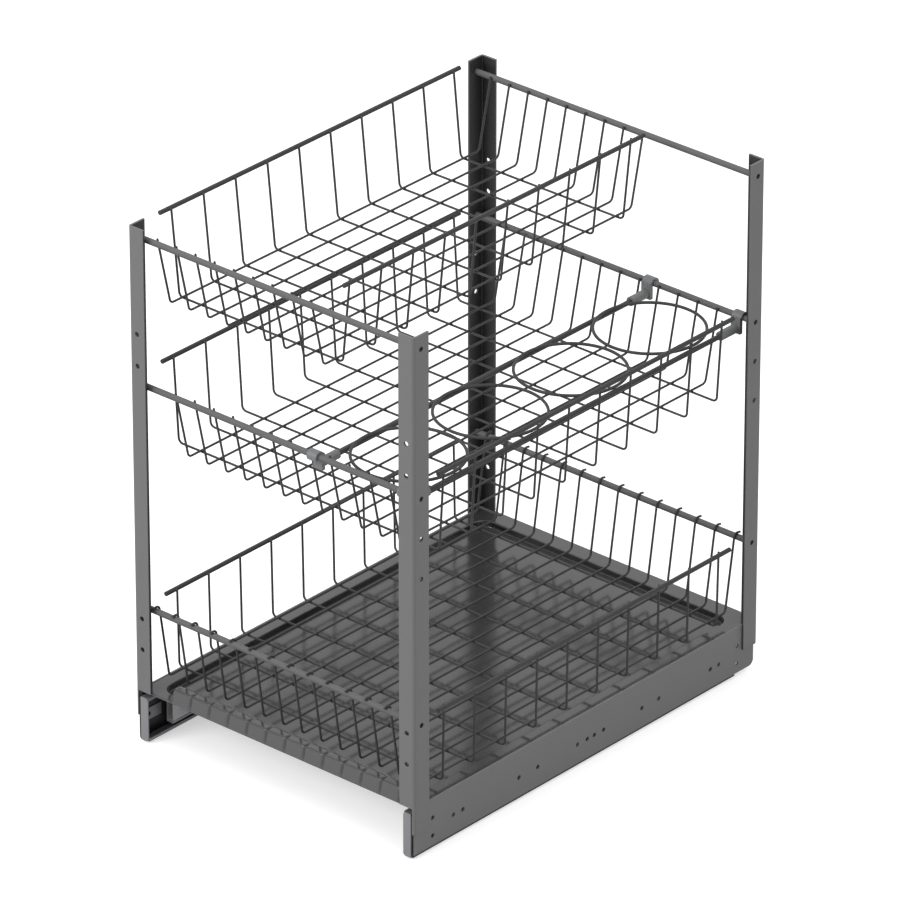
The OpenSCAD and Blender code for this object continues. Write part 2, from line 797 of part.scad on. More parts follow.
module outer_ball_cage(side) {
    u1 = drawer_flange - lip_t - run_gap;
    ball_cage(side, outer_cage_u, u1, outer_ball_u, outer_ball_v, outer_ball_d, 0);
}
module outer_balls(side) {
    ball_rows(side, outer_ball_u, outer_ball_v, outer_ball_d, 0);
}
module inner_ball_cage(side) {
    u1 = runner_t - rail_t - 1;
    ball_cage(side, inner_cage_u, u1, inner_ball_u, inner_ball_v, inner_ball_d, inner_cage_shift);
}
module inner_balls(side) {
    ball_rows(side, inner_ball_u, inner_ball_v, inner_ball_d, inner_cage_shift);
}

// Rivets between the side plates and the drawer rails, sunk below the plates' outer faces
module rail_rivets() {
    for (side = [-1, 1], i = [0 : rivet_count - 1])
        runner_space(side)
            translate([0, plate_holes[i] - half_d, 0]) bar_x(-plate_t / 3, rail_t, rail_rivet_d);
}

// Rivets between the fixed rails and the floor brackets
module bracket_rivets() {
    for (side = [-1, 1], y = bracket_rivet_places)
        runner_space(side)
            translate([0, y, 0]) bar_x(runner_t - rail_t, runner_t + bracket_t, rail_rivet_d);
}

// Floor bracket: an upright flange behind the fixed rail and a foot turned in under the tray
module floor_bracket(side) {
    u = runner_t;
    foot = -runner_z - floor_gap;
    runner_space(side)
        difference() {
            union() {
                box([u, bracket_front, foot], [u + bracket_t, fixed_rear, bracket_top - runner_z]);
                box([u, bracket_front, foot], [u + foot_w, fixed_rear, foot + bracket_t]);
            }
            for (y = bracket_rivet_places)
                translate([u - 1, y, 0]) bar_x(0, bracket_t + 2, rivet_hole_d);
            for (y = [bracket_front + foot_hole_in, fixed_rear - foot_hole_in])
                translate([plate_in - foot_hole_x, y, foot - 1]) cylinder(d = foot_hole_d, h = bracket_t + 2);
        }
}

// ---------- nodes ----------

module steel() {
    color("dimgray") children();
}
module zinc() {
    color("silver") children();
}

zinc() floor_bracket(-1);  // floor_bracket_left
zinc() floor_bracket(1);  // floor_bracket_right
zinc() fixed_rail(-1);  // fixed_rail_left
zinc() fixed_rail(1);  // fixed_rail_right
zinc() bracket_rivets();
zinc() inner_ball_cage(-1);  // inner_ball_cage_left
zinc() inner_ball_cage(1);  // inner_ball_cage_right
zinc() inner_balls(-1);  // inner_balls_left
zinc() inner_balls(1);  // inner_balls_right
zinc() middle_rail(-1);  // middle_rail_left
zinc() middle_rail(1);  // middle_rail_right
zinc() outer_ball_cage(-1);  // outer_ball_cage_left
zinc() outer_ball_cage(1);  // outer_ball_cage_right
zinc() outer_balls(-1);  // outer_balls_left
zinc() outer_balls(1);  // outer_balls_right
zinc() drawer_rail(-1);  // drawer_rail_left
zinc() drawer_rail(1);  // drawer_rail_right
zinc() rail_rivets();
steel() side_plate(-1);  // side_plate_left
steel() side_plate(1);  // side_plate_right
steel() post(-1, -1);  // post_front_left
steel() post(1, -1);  // post_front_right
steel() post(-1, 1);  // post_rear_left
steel() post(1, 1);  // post_rear_right
steel() cross_rod(top_rod_z, -1);  // top_rod_front
steel() cross_rod(top_rod_z, 1);  // top_rod_rear
steel() cross_rod(mid_rod_z, -1);  // middle_rod_front
steel() cross_rod(mid_rod_z, 1);  // middle_rod_rear
steel() cross_rod(low_rod_z, -1);  // low_rod_front
steel() cross_rod(low_rod_z, 1);  // low_rod_rear
drip_tray();
steel() top_basket_long_wires();
steel() top_basket_cross_wires();
steel() top_basket_side_rods();
steel() middle_basket_long_wires();
steel() middle_basket_cross_wires();
steel() middle_basket_side_rods();
steel() low_basket_long_wires();
steel() low_basket_cross_wires();
steel() low_basket_side_rods();
steel() rack_rods();
steel() bottle_ring(0);  // bottle_ring_1
steel() bottle_ring(1);  // bottle_ring_2
steel() bottle_ring(2);  // bottle_ring_3
steel() bottle_ring(3);  // bottle_ring_4
color("dimgray") rack_clip(-1, -1);  // rack_clip_front_left
color("dimgray") rack_clip(1, -1);  // rack_clip_front_right
color("dimgray") rack_clip(-1, 1);  // rack_clip_rear_left
color("dimgray") rack_clip(1, 1);  // rack_clip_rear_right
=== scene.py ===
"""Looks of a pull-out cabinet basket: finishes, the moulded drip tray, weld beads, studio and camera."""

import logging
import math
from dataclasses import dataclass, field, replace
from enum import Enum
from typing import Iterable, Sequence, Union

import bmesh
import bpy
from mathutils import Matrix, Vector


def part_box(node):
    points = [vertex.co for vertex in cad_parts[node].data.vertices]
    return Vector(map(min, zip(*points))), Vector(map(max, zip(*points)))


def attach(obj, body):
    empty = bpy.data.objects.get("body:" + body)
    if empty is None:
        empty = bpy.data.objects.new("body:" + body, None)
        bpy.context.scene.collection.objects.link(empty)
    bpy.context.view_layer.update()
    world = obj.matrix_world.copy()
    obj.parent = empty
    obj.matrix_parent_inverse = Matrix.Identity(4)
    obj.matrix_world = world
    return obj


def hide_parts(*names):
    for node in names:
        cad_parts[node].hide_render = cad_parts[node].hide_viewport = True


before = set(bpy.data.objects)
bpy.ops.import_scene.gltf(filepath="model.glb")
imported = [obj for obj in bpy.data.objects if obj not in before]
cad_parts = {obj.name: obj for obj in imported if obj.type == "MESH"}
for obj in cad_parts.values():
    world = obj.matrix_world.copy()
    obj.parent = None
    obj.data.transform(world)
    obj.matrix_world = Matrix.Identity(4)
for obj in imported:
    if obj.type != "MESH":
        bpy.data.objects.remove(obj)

LOG = logging.getLogger("cabinet_basket")
MM = 0.001
SEEN_BY = ("Is Camera Ray", "Is Glossy Ray", "Is Transmission Ray")

Colour = tuple[float, float, float]
# Near black for the painted shade on the drawer rail's web face.
WEB_SHADE: Colour = (0.012, 0.012, 0.013)
Number = Union[float, "Value"]


class Body(Enum):
    """The moving bodies that new pieces ride on."""

    CARRIAGE = "carriage"
    LOW_BASKET = "low_basket"


class Slot(Enum):
    """Two slot names, wire and tray; no piece here takes its finish from them."""

    WIRE = "wire"
    TRAY = "tray"


# ---------- shader kit ----------


class Value:
    """A number socket that can be used in Python arithmetic; each operation adds one Math node."""

    def __init__(self, shop: "NodeShop", socket: bpy.types.NodeSocket) -> None:
        """Wraps a socket.

        Args:
            shop: The node shop that owns the tree.
            socket: The output socket that carries the number.
        """
        self.shop = shop
        self.socket = socket

    def _math(self, operation: str, *terms: Number) -> "Value":
        """Adds a Math node.

        Args:
            operation: Blender's name of the operation.
            terms: The numbers or values it works on.

        Returns:
            The result.
        """
        node = self.shop.node("ShaderNodeMath", {"operation": operation}, dict(enumerate(terms)))
        return Value(self.shop, node.outputs[0])

    def __add__(self, other: Number) -> "Value":
        """Returns self + other."""
        return self._math("ADD", self, other)

    def __radd__(self, other: Number) -> "Value":
        """Returns other + self."""
        return self._math("ADD", other, self)

    def __sub__(self, other: Number) -> "Value":
        """Returns self - other."""
        return self._math("SUBTRACT", self, other)

    def __rsub__(self, other: Number) -> "Value":
        """Returns other - self."""
        return self._math("SUBTRACT", other, self)

    def __mul__(self, other: Number) -> "Value":
        """Returns self * other."""
        return self._math("MULTIPLY", self, other)

    def __rmul__(self, other: Number) -> "Value":
        """Returns other * self."""
        return self._math("MULTIPLY", other, self)

    def __truediv__(self, other: Number) -> "Value":
        """Returns self / other."""
        return self._math("DIVIDE", self, other)

    def clamped(self) -> "Value":
        """Returns self kept between 0 and 1."""
        return self._math("MINIMUM", self._math("MAXIMUM", self, 0.0), 1.0)

    def size(self) -> "Value":
        """Returns self without its sign."""
        return self._math("ABSOLUTE", self)

    def fraction(self) -> "Value":
        """Returns what self has after its whole number."""
        return self._math("FRACT", self)

    def under(self, level: float) -> "Value":
        """Returns 1 where self is under a level, else 0."""
        return self._math("LESS_THAN", self, level)


class NodeShop:
    """Makes the nodes of one material, or of the world."""

    def __init__(self, owner: bpy.types.Material | bpy.types.World, output: str = "ShaderNodeOutputMaterial") -> None:
        """Starts with an empty tree.

        Args:
            owner: The material or world.
            output: Blender's type of its output node.
        """
        owner.use_nodes = True
        self.owner = owner
        self.tree = owner.node_tree
        self.tree.nodes.clear()
        self.output = self.node(output)

    @classmethod
    def material(cls, name: str) -> "NodeShop":
        """Returns a shop for a new material of that name."""
        return cls(bpy.data.materials.new(name))

    def node(self, kind: str, settings: dict | None = None, inputs: dict | None = None) -> bpy.types.Node:
        """Makes a node, sets it, then fills its sockets.

        Args:
            kind: Blender's node type.
            settings: Attributes to set.
            inputs: Socket index or name to a number, colour, Value or socket.

        Returns:
            The node.
        """
        made = self.tree.nodes.new(kind)
        for key, setting in (settings or {}).items():
            setattr(made, key, setting)
        for key, given in (inputs or {}).items():
            socket = made.inputs[key]
            if isinstance(given, Value):
                self.tree.links.new(given.socket, socket)
            elif isinstance(given, bpy.types.NodeSocket):
                self.tree.links.new(given, socket)
            else:
                socket.default_value = given
        return made

    def coords(self, stretch: Sequence[float] = (1.0, 1.0, 1.0)) -> bpy.types.NodeSocket:
        """Object coordinates, stretched per axis.

        Args:
            stretch: The scale along X, Y and Z.

        Returns:
            The vector socket.
        """
        origin = self.node("ShaderNodeTexCoord").outputs["Object"]
        return self.node("ShaderNodeMapping", {}, {"Vector": origin, "Scale": tuple(stretch)}).outputs[0]

    def axes(self) -> tuple[Value, Value, Value]:
        """Returns the object's x, y and z as values, in metres."""
        split = self.node("ShaderNodeSeparateXYZ", {}, {0: self.coords()})
        return tuple(Value(self, out) for out in split.outputs)

    def noise(self, at: bpy.types.NodeSocket, size_mm: float, detail: float = 2.0, rough: float = 0.55) -> Value:
        """Noise whose features are about a given size.

        Args:
            at: The coordinates.
            size_mm: The size of a feature.
            detail: The octaves.
            rough: The weight of the finer octaves.

        Returns:
            The noise, around 0.5.
        """
        made = self.node("ShaderNodeTexNoise", {"noise_dimensions": "3D"},
                         {"Vector": at, "Scale": 1.0 / (size_mm * MM), "Detail": detail, "Roughness": rough})
        return Value(self, made.outputs["Fac"])

    def blend(self, fac: Value, low: Colour, high: Colour) -> bpy.types.NodeSocket:
        """Mixes two colours.

        Args:
            fac: 0 for the first colour, 1 for the second.
            low: The first colour.
            high: The second colour.

        Returns:
            The colour socket.
        """
        made = self.node("ShaderNodeMix", {"data_type": "RGBA"}, {0: fac.clamped(), 6: (*low, 1.0), 7: (*high, 1.0)})
        return made.outputs[2]

    def cover(self, mask: Value, below: bpy.types.NodeSocket, paint: Colour) -> bpy.types.NodeSocket:
        """Lays a colour over another where a mask is 1.

        Args:
            mask: 0 where the first colour stays, 1 where the paint covers it.
            below: The first colour.
            paint: The colour over it.

        Returns:
            The colour socket.
        """
        return self.node("ShaderNodeMix", {"data_type": "RGBA"}, {0: mask, 6: below, 7: (*paint, 1.0)}).outputs[2]

    def seen(self) -> Value:
        """Returns 1 for the rays that see the white background, 0 for the rays that light the object."""
        path = self.node("ShaderNodeLightPath")
        first, *others = (Value(self, path.outputs[name]) for name in SEEN_BY)
        return sum(others, first).clamped()

    def bump(self, height: Value, depth_mm: float, strength: float = 1.0) -> bpy.types.NodeSocket:
        """Turns a height into a normal.

        Args:
            height: The height, 0 to 1.
            depth_mm: What a height of 1 stands for.
            strength: The share of it that shows.

        Returns:
            The normal socket.
        """
        made = self.node("ShaderNodeBump", {}, {"Height": height, "Distance": depth_mm * MM, "Strength": strength})
        return made.outputs[0]

    def surface(self, settings: dict) -> bpy.types.Material:
        """Ends the material in a Principled shader.

        Args:
            settings: The shader's sockets by name.

        Returns:
            The material.
        """
        return self.end(self.node("ShaderNodeBsdfPrincipled", {}, settings))

    def end(self, shader: bpy.types.Node) -> bpy.types.Material | bpy.types.World:
        """Links the last shader to the output.

        Args:
            shader: The shader.

        Returns:
            The material or world.
        """
        self.tree.links.new(shader.outputs[0], self.output.inputs[0])
        return self.owner


# ---------- finishes ----------


def shade(colour: Colour, by: float) -> Colour:
    """Scales a colour.

    Args:
        colour: The colour.
        by: The factor.

    Returns:
        The scaled colour, at most 1.
    """
    return tuple(min(1.0, c * by) for c in colour)


@dataclass(frozen=True)
class PowderCoat:
    """Satin powder coat on steel: a fine orange-peel skin with slight mottling, and optional painted shade on the
    inner faces.
    """

    name: str
    colour: Colour
    mottle: float = 0.07
    cloud_mm: float = 38.0
    peel_mm: float = 0.9
    speck_mm: float = 0.22
    skin_mm: float = 0.035
    roughness: float = 0.5
    sheen: float = 0.08
    gloss: float = 0.42
    # The box and the share of the painted shade on the inner faces.
    inside_shade_box: Vector | None = None
    inside_shade_share: float = 0.12

    def _inside_shade(self, shop: NodeShop) -> Value:
        """Returns 1 on the inner faces inside the given box of half width, half depth and top, where shade is painted.
        """
        x, y, z = shop.axes()
        return x.size().under(self.inside_shade_box.x) * y.size().under(self.inside_shade_box.y) * z.under(self.inside_shade_box.z)

    def build(self) -> bpy.types.Material:
        """Returns the material."""
        shop = NodeShop.material(self.name)
        at = shop.coords()
        broad = shop.noise(at, self.cloud_mm, 3.0)
        peel = shop.noise(at, self.peel_mm, 1.5)
        speck = shop.noise(at, self.speck_mm, 1.0)
        tint = shop.blend(broad * 0.7 + speck * 0.3, shade(self.colour, 1 - self.mottle),
                          shade(self.colour, 1 + self.mottle))
        # Painted shade: the inner faces of the angle posts are painted near black.
        if self.inside_shade_box is not None:
            tint = shop.cover(self._inside_shade(shop), tint, shade(self.colour, self.inside_shade_share))
        return shop.surface({
            "Base Color": tint,
            "Roughness": (self.roughness - self.sheen) + 2 * self.sheen * broad,
            "Normal": shop.bump(peel * 0.7 + speck * 0.3, self.skin_mm, 0.5),
            "Specular IOR Level": self.gloss,
        })


@dataclass(frozen=True)
class ZincSheet:
    """Zinc-plated sheet, rolled along Y, with faint draw lines and a cloudy bloom."""

    name: str
    colour: Colour
    roughness: float = 0.42
    metallic: float = 0.5
    line_mm: float = 0.5
    line_pull: float = 0.025
    line_deep_mm: float = 0.02
    bloom_mm: float = 14.0
    shaded_web: tuple[float, float] | None = None

    def build(self) -> bpy.types.Material:
        """Returns the material; its web x range marks a web face that is painted near black, as painted shade."""
        shop = NodeShop.material(self.name)
        lines = shop.noise(shop.coords((1.0, self.line_pull, 1.0)), self.line_mm, 3.0, 0.7)
        cloud = shop.noise(shop.coords(), self.bloom_mm, 4.0, 0.6)
        tint = shop.blend(cloud * 0.65 + lines * 0.35, shade(self.colour, 0.86), shade(self.colour, 1.1))
        # Painted shade: a web face of the drawer rail is painted near black.
        if self.shaded_web is not None:
            side = shop.axes()[0].size()
            web_shade = side.under(self.shaded_web[1]) * (1.0 - side.under(self.shaded_web[0]))
            tint = shop.cover(web_shade, tint, WEB_SHADE)
        return shop.surface({
            "Base Color": tint,
            "Metallic": self.metallic,
            "Roughness": (self.roughness - 0.1) + 0.14 * lines + 0.1 * cloud,
            "Normal": shop.bump(lines, self.line_deep_mm, 0.35),
        })


@dataclass(frozen=True)
class PolishedSteel:
    """Ground and polished bearing steel with a thin film of grease."""

    name: str
    colour: Colour
    film_mm: float = 1.6

    def build(self) -> bpy.types.Material:
        """Returns the material."""
        shop = NodeShop.material(self.name)
        film = shop.noise(shop.coords(), self.film_mm, 2.0)
        return shop.surface({
            "Base Color": shop.blend(film, shade(self.colour, 0.9), self.colour),
            "Metallic": 1.0,
            "Roughness": 0.08 + 0.14 * film,
        })


@dataclass(frozen=True)
class MouldedPlastic:
    """Injection-moulded plastic: a fine spark-eroded grain under a soft gloss.

    The walls tuple holds the half width, rear, foot and top of the recessed walls that get painted shade, and
    seams the first, the pitch, the half width, the last and the rear end of the grooves that get painted shade.
    """

    name: str
    colour: Colour
    roughness: float = 0.3
    grain_mm: float = 0.3
    grain_depth_mm: float = 0.02
    flow: float = 0.05
    flow_mm: float = 55.0
    gloss: float = 0.5
    walls: tuple[float, float, float, float] | None = None
    seams: tuple[float, float, float, float, float] | None = None
    painted_shade_share: float = 0.2
    seam_fade: float = 0.007
    seam_rough: float = 0.45

    def _groove(self, shop: NodeShop) -> Value:
        """Returns 1 in the middle of each groove of the front face, 0 beside it and elsewhere; this marks where shade
        is painted.
        """
        first, pitch, half, last, rear = self.seams
        x, y, _ = shop.axes()
        place = ((x - first) / pitch + 0.5).fraction() - 0.5
        beside = place.size() * (pitch / half)
        along = x.under(last + half) * (1.0 - x.under(first - half))
        return (1.0 - beside).clamped() * ((rear - y) / self.seam_fade).clamped() * along

    def build(self) -> bpy.types.Material:
        """Returns the material."""
        shop = NodeShop.material(self.name)
        at = shop.coords()
        grain = shop.noise(at, self.grain_mm, 2.0)
        flow = shop.noise(shop.coords((1.0, 0.35, 1.0)), self.flow_mm, 3.0)
        tint = shop.blend(flow * 0.8 + grain * 0.2,
                          shade(self.colour, 1 - self.flow), shade(self.colour, 1 + self.flow))
        # The colour of the painted shade on the pan's walls and in the grooves.
        dark = shade(self.colour, self.painted_shade_share)
        if self.walls is not None:
            half, rear, foot, top = self.walls
            x, y, z = shop.axes()
            # Painted shade: the pan's recessed walls and channels are painted darker.
            wall_shade = (1.0 - x.size().under(half) * y.under(rear)) * z.under(top) * (1.0 - z.under(foot))
            tint = shop.cover(wall_shade, tint, dark)
        rough = (self.roughness - 0.05) + 0.06 * flow + 0.06 * grain
        if self.seams is not None:
            # Painted shade in the front lip's grooves, which are also made rougher.
            groove = self._groove(shop)
            tint = shop.cover(groove, tint, dark)
            rough = rough + self.seam_rough * groove
        return shop.surface({
            "Base Color": tint,
            "Roughness": rough,
            "Normal": shop.bump(grain, self.grain_depth_mm, 0.4),
            "Specular IOR Level": self.gloss,
        })


@dataclass(frozen=True)
class StudioFloor:
    """Pale floor that shows white to the camera, takes the object's soft shadow and bounces little light."""

    name: str = "studio_floor"
    albedo: float = 0.66
    mottle: float = 0.02
    mottle_mm: float = 260.0
    lift: float = 0.5
    bounce: float = 0.3

    def build(self) -> bpy.types.Material:
        """Returns the material."""
        shop = NodeShop.material(self.name)
        cloud = shop.noise(shop.coords(), self.mottle_mm, 2.0)
        tint = shop.blend(cloud, (self.albedo,) * 3, (self.albedo + self.mottle,) * 3)
        matt = shop.node("ShaderNodeBsdfDiffuse", {}, {"Color": tint})
        glow = shop.node("ShaderNodeEmission", {}, {"Strength": self.lift})
        both = shop.node("ShaderNodeAddShader", {}, {0: matt.outputs[0], 1: glow.outputs[0]})
        dim = shop.node("ShaderNodeBsdfDiffuse", {}, {"Color": (*(self.bounce,) * 3, 1.0)})
        return shop.end(shop.node("ShaderNodeMixShader", {}, {0: shop.seen(), 1: dim.outputs[0], 2: both.outputs[0]}))


# ---------- mesh kit ----------


def settle(name: str, bm: bmesh.types.BMesh, sharp_deg: float = 35.0) -> bpy.types.Object:
    """Turns a bmesh into an object at the origin with outward normals.

    Args:
        name: The piece's name.
        bm: The bmesh, which is freed.
        sharp_deg: Edges over this angle stay sharp.

    Returns:
        The object.
    """
    bmesh.ops.recalc_face_normals(bm, faces=bm.faces)
    mesh = bpy.data.meshes.new(name)
    bm.to_mesh(mesh)
    bm.free()
    mesh.shade_smooth()
    mesh.set_sharp_from_angle(angle=math.radians(sharp_deg))
    made = bpy.data.objects.new(name, mesh)
    bpy.context.scene.collection.objects.link(made)
    LOG.info("piece %s: %d faces", name, len(mesh.polygons))
    return made


def dress(names: Iterable[str], material: bpy.types.Material) -> None:
    """Gives CAD nodes a material.

    Args:
        names: The nodes.
        material: The material.
    """
    for name in names:
        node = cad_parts[name]
        node.data.materials.clear()
        node.data.materials.append(material)
        LOG.info("dressed %s in %s", name, material.name)


def smooth(x: float) -> float:
    """Returns a soft step from 0 to 1."""
    t = min(1.0, max(0.0, x))
    return t * t * (3 - 2 * t)


def add_block(bm: bmesh.types.BMesh, low: Vector, high: Vector, round_by: float, segments: int = 3) -> None:
    """Adds a box with rounded edges.

    Args:
        bm: The bmesh.
        low: The lowest corner.
        high: The highest corner.
        round_by: The edge radius.
        segments: The segments of a rounding.
    """
    size = high - low
    placed = Matrix.Translation((low + high) / 2) @ Matrix.Diagonal((*size, 1.0))
    verts = bmesh.ops.create_cube(bm, size=1.0, matrix=placed)["verts"]
    edges = list({e for v in verts for e in v.link_edges})
    bmesh.ops.bevel(bm, geom=edges, offset=round_by, offset_type="OFFSET", segments=segments,
                    profile=0.5, affect="EDGES", material=-1)


def add_bead(bm: bmesh.types.BMesh, centre: Vector, radii: Vector) -> None:
    """Adds one small weld bead.

    Args:
        bm: The bmesh.
        centre: Its middle.
        radii: Its radius along each axis.
    """
    placed = Matrix.Translation(centre) @ Matrix.Diagonal((*radii, 1.0))
    bmesh.ops.create_icosphere(bm, subdivisions=2, radius=1.0, matrix=placed)


def spread(n: int, low: float, high: float) -> list[float]:
    """Returns n places evenly from low to high."""
    return [low + (high - low) * i / (n - 1) for i in range(n)]


def stepped(low: float, high: float, step: float) -> list[float]:
    """Returns places from low to high, about one step apart."""
    return spread(max(2, round((high - low) / step) + 1), low, high)


# ---------- drip tray ----------


@dataclass
class DripTray:
    """Moulded drip tray: rim, flat glossy pan and a raised front lip with grooves, in millimetres."""

    half_width: float = 166.2
    front: float = -236.5
    rear: float = 239.6
    rim: float = 52.6
    wall: float = 1.6
    pan_half: float = 152.5
    pan_front: float = -225.5
    pan_rear: float = 221.5
    pan_floor: float = 46.4
    pan_corner: float = 14.0
    pan_slope: float = 2.0
    pitch: float = 23.13
    blocks: int = 12
    lip_left: float = -129.8
    lip_top: float = 65.0
    lip_lean: float = 3.2
    lip_flat: float = 4.8
    lip_fall: float = 30.0
    groove_half: float = 2.2
    groove_deep: float = 0.9
    groove_fade: float = 4.0
    groove_back: float = 6.0
    crease: float = 1.6
    rim_bend: float = 0.5
    fold: float = -226.2
    fine_to: float = -211.0
    lip_ends: float = -196.0
    skirt_foot: float = 47.0
    skirt_inset: float = 0.15
    skirt_round: float = 0.3
    # Where painted shade goes: the lip's grooves and the pan's walls.
    groove_shade_half: float = 2.9
    groove_shade_rear: float = -222.5
    wall_shade_inset: float = 4.0
    wall_shade_foot: float = 46.8
    wall_shade_top: float = 52.1

    @property
    def lip_right(self) -> float:
        """The right end of the raised lip."""
        return self.lip_left + self.blocks * self.pitch

    def walls(self) -> tuple[float, float, float, float]:
        """Returns half width, rear, foot and top of the pan's walls that get painted shade, in metres."""
        places = (self.pan_half - self.wall_shade_inset, self.pan_rear - self.wall_shade_inset, self.wall_shade_foot, self.wall_shade_top)
        return tuple(place * MM for place in places)

    def seams(self) -> tuple[float, float, float, float, float]:
        """Returns first, pitch, half width, last and rear end of the grooves' painted shade, in metres."""
        places = (self.lip_left, self.pitch, self.groove_shade_half, self.lip_right, self.groove_shade_rear)
        return tuple(place * MM for place in places)

    def _inside_pan(self, x: float, y: float) -> float:
        """Returns how far a point lies inside the pan's rounded outline, negative outside."""
        cy, hy = (self.pan_front + self.pan_rear) / 2, (self.pan_rear - self.pan_front) / 2
        dx = abs(x) - (self.pan_half - self.pan_corner)
        dy = abs(y - cy) - (hy - self.pan_corner)
        outside = math.hypot(max(dx, 0.0), max(dy, 0.0))
        return self.pan_corner - (outside + min(max(dx, dy), 0.0))

    def _groove(self, x: float, y: float) -> float:
        """Returns the depth of the lip's grooves, which fade out behind its edge."""
        t = (x - self.lip_left) / self.pitch
        across = math.cos(math.pi / 2 * min(1.0, abs(t - round(t)) * self.pitch / self.groove_half)) ** 2
        return self.groove_deep * across * (1 - smooth((y - self.front - self.lip_lean - 2.0) / self.groove_back))

    def _lip_z(self, y: float) -> float:
        """Returns the height of the lip behind its crease: flat, then falling to the pan's floor."""
        fall = (y - self.front - self.lip_lean - self.lip_flat) / self.lip_fall
        return self.lip_top + (self.pan_floor - self.lip_top) * smooth(fall)

    def _lip_share(self, x: float) -> float:
        """Returns 1 along the lip and 0 past its ends."""
        return smooth((min(x - self.lip_left, self.lip_right - x) + 0.2) / 1.2)

    def height(self, x: float, y: float) -> float:
        """Height of the tray's top side behind the fold at the lip.

        Args:
            x: Across the width, in millimetres.
            y: Along the depth, in millimetres.

        Returns:
            The height in millimetres.
        """
        z = self.rim + (self.pan_floor - self.rim) * smooth((self._inside_pan(x, y) + 0.3) / self.pan_slope)
        lip = self._lip_z(y) - self._groove(x, y)
        return max(z, z + (lip - z) * self._lip_share(x))

    def _columns(self) -> list[float]:
        """Returns the x places, closest at the seams and at the walls."""
        near = (0.0, 0.55, 1.1, 1.65, 2.2, 3.2, 5.0, 8.0)
        seams = spread(self.blocks + 1, self.lip_left, self.lip_right)
        places = {round(seam + side * off, 2) for seam in seams for off in near for side in (-1, 1)}
        places |= {round(seam + self.pitch / 2, 2) for seam in seams[:-1]}
        corner = self.pan_half - self.pan_corner
        for side in (-1, 1):
            places |= {round(side * x, 2) for x in stepped(corner, self.pan_half - 3.0, 0.8)}
            places |= {round(side * x, 2) for x in stepped(self.pan_half - 2.6, self.pan_half + 0.8, 0.4)}
            places |= {round(side * x, 2) for x in stepped(self.pan_half + 2.0, self.half_width - 0.8, 2.4)}
            places |= {side * self.half_width}
        ordered = sorted(places)
        return [x for x, after in zip(ordered, ordered[1:]) if after - x > 0.25] + [ordered[-1]]

    def _rows(self) -> list[float]:
        """Returns the y places behind the fold, closest at the walls."""
        corner = self.pan_rear - self.pan_corner
        return (stepped(self.fold + 0.5, self.pan_front + 7.0, 0.5)
                + stepped(self.pan_front + 7.8, self.fine_to, 0.8)
                + stepped(self.fine_to + 1.5, self.lip_ends, 1.5)
                + stepped(self.lip_ends + 4.0, corner - 8.0, 9.0) + stepped(corner, self.pan_rear - 3.0, 0.8)
                + stepped(self.pan_rear - 2.6, self.pan_rear + 0.8, 0.4)
                + stepped(self.pan_rear + 2.4, self.rear - 1.0, 3.4) + [self.rear])

    def _edge(self, top_y: float, top_z: float, bend: float) -> list[tuple[float, float]]:
        """Outline of the front edge: up from its foot, round a bend and back to the fold.

        Args:
            top_y: The y of the corner.
            top_z: The z of the corner.
            bend: The radius that rounds it.

        Returns:
            (y, z) points from the foot to the fold.
        """
        foot, corner, end = (Vector(p) for p in ((self.front, self.rim - self.wall), (top_y, top_z),
                                                 (self.fold, top_z)))
        up, back = (foot - corner).normalized() * bend, (end - corner).normalized() * bend
        face = [foot.lerp(corner + up, t) for t in spread(8, 0.0, 1.0)]
        turn = [(corner + up).lerp(corner, t).lerp(corner.lerp(corner + back, t), t) for t in (0.2, 0.4, 0.6, 0.8)]
        top = [(corner + back).lerp(end, t) for t in spread(6, 0.0, 1.0)]
        return [(p.x, p.y) for p in face + turn + top]

    def _front_point(self, x: float, rim: tuple[float, float], lip: tuple[float, float]) -> Vector:
        """Blends the flat rim's edge into the raised lip, with a groove at each seam.

        Args:
            x: Across the width.
            rim: The point on the rim's edge.
            lip: The point on the lip's edge.

        Returns:
            The point.
        """
        share = self._lip_share(x)
        y, z = (a + (b - a) * share for a, b in zip(rim, lip))
        above_foot = smooth((lip[1] - self.rim + self.wall) / self.groove_fade)
        on_top = smooth((lip[0] - self.front - self.lip_lean) / 2.0)
        deep = self._groove(x, lip[0]) * share * above_foot
        return Vector((x, y + deep * (1 - on_top), z - deep * on_top))

    def build(self) -> bpy.types.Object:
        """Builds the tray as one moulded shell with its side skirts.

        Returns:
            The tray.
        """
        lip = self._edge(self.front + self.lip_lean, self.lip_top, self.crease)
        rim = self._edge(self.front, self.rim, self.rim_bend)
        columns, rows = self._columns(), self._rows()
        grid = [[self._front_point(x, r, p) for x in columns] for r, p in zip(rim, lip)]
        grid += [[Vector((x, y, self.height(x, y))) for x in columns] for y in rows]
        bm = bmesh.new()
        verts = [[bm.verts.new(p * MM) for p in row] for row in grid]
        shell = [bm.faces.new((a[i], a[i + 1], b[i + 1], b[i]))
                 for a, b in zip(verts, verts[1:]) for i in range(len(columns) - 1)]
        bmesh.ops.recalc_face_normals(bm, faces=shell)
        if sum(f.normal.z for f in shell) < 0:
            bmesh.ops.reverse_faces(bm, faces=shell)
        bmesh.ops.solidify(bm, geom=shell, thickness=self.wall * MM)
        for side in (-1, 1):
            low, high = sorted((side * (self.half_width - self.skirt_inset), side * (self.half_width - self.wall)))
            add_block(bm, Vector((low, self.front + self.wall, self.skirt_foot)) * MM,
                      Vector((high, self.rear - self.skirt_inset, self.rim - self.wall / 2)) * MM,
                      self.skirt_round * MM)
        piece = settle("moulded_drip_tray", bm, 60.0)
        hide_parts("drip_tray")
        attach(piece, Body.CARRIAGE.value)
        return piece

    def finish(self, piece: bpy.types.Object, material: bpy.types.Material) -> None:
        """Dresses the tray.

        Args:
            piece: The tray.
            material: Its plastic.
        """
        piece.data.materials.append(material)


# ---------- baskets ----------


